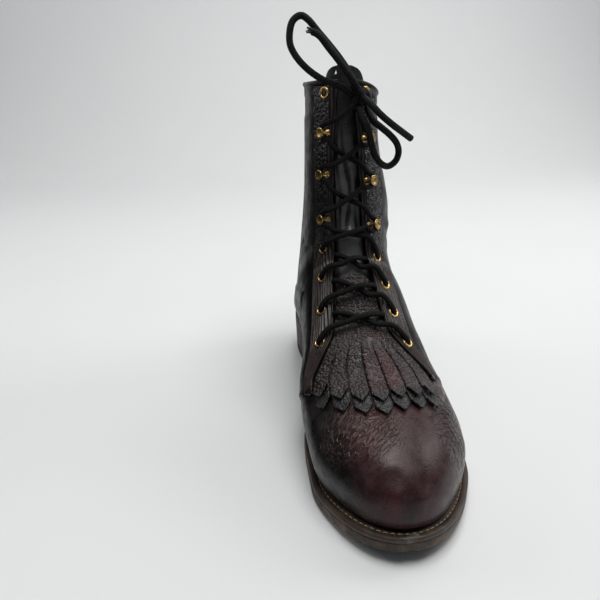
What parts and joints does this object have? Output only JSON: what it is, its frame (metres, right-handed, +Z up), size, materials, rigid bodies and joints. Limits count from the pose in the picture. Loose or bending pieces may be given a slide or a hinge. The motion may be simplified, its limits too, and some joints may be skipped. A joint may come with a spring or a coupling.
{
  "type": "packer boot",
  "caption": "Left-foot lace-up packer boot with fringed false tongue, brass eyelets and speed hooks, stitched welt, low stacked heel and a tied bow of round lace.",
  "frame": {"origin": "On the floor, under the middle of the boot's length and width, laces of the bow left out", "axes": "+Z up, -Y towards the toe, +X towards the outer (lateral) side of the left foot"},
  "size_m": [0.1047, 0.2916, 0.2675],
  "materials": {
    "burgundy_leather": "dark burgundy leather, polished and worn",
    "black_leather": "smooth black leather",
    "sole_leather": "brown edge-dressed sole leather, scuffed",
    "heel_rubber": "matt black rubber",
    "insole_leather": "plain tan insole leather",
    "brass": "worn polished brass",
    "lace_cotton": "waxed round black lace"
  },
  "bodies": {
    "root": {"outsole": "sole_leather", "welt": "sole_leather", "insole": "insole_leather", "heel_top_lift": "heel_rubber", "heel_stack": "sole_leather", "upper": "burgundy_leather", "facing_medial": "burgundy_leather", "facing_lateral": "burgundy_leather", "tongue": "black_leather", "kiltie_under": "black_leather", "kiltie_top": "burgundy_leather", "eyelet_lateral_1": "brass", "eyelet_lateral_2": "brass", "eyelet_lateral_3": "brass", "eyelet_lateral_4": "brass", "eyelet_lateral_top": "brass", "eyelet_medial_1": "brass", "eyelet_medial_2": "brass", "eyelet_medial_3": "brass", "eyelet_medial_4": "brass", "eyelet_medial_top": "brass", "hook_lateral_1": "brass", "hook_lateral_2": "brass", "hook_lateral_3": "brass", "hook_medial_1": "brass", "hook_medial_2": "brass", "hook_medial_3": "brass", "lace_cross_2_1": "lace_cotton", "lace_cross_3_2": "lace_cotton", "lace_cross_4_3": "lace_cotton", "lace_end_lateral": "lace_cotton", "lace_end_medial": "lace_cotton", "lace_hook_run": "lace_cotton", "lace_knot": "lace_cotton", "lace_loop_lateral": "lace_cotton", "lace_loop_medial": "lace_cotton"}
  },
  "joints": []
}
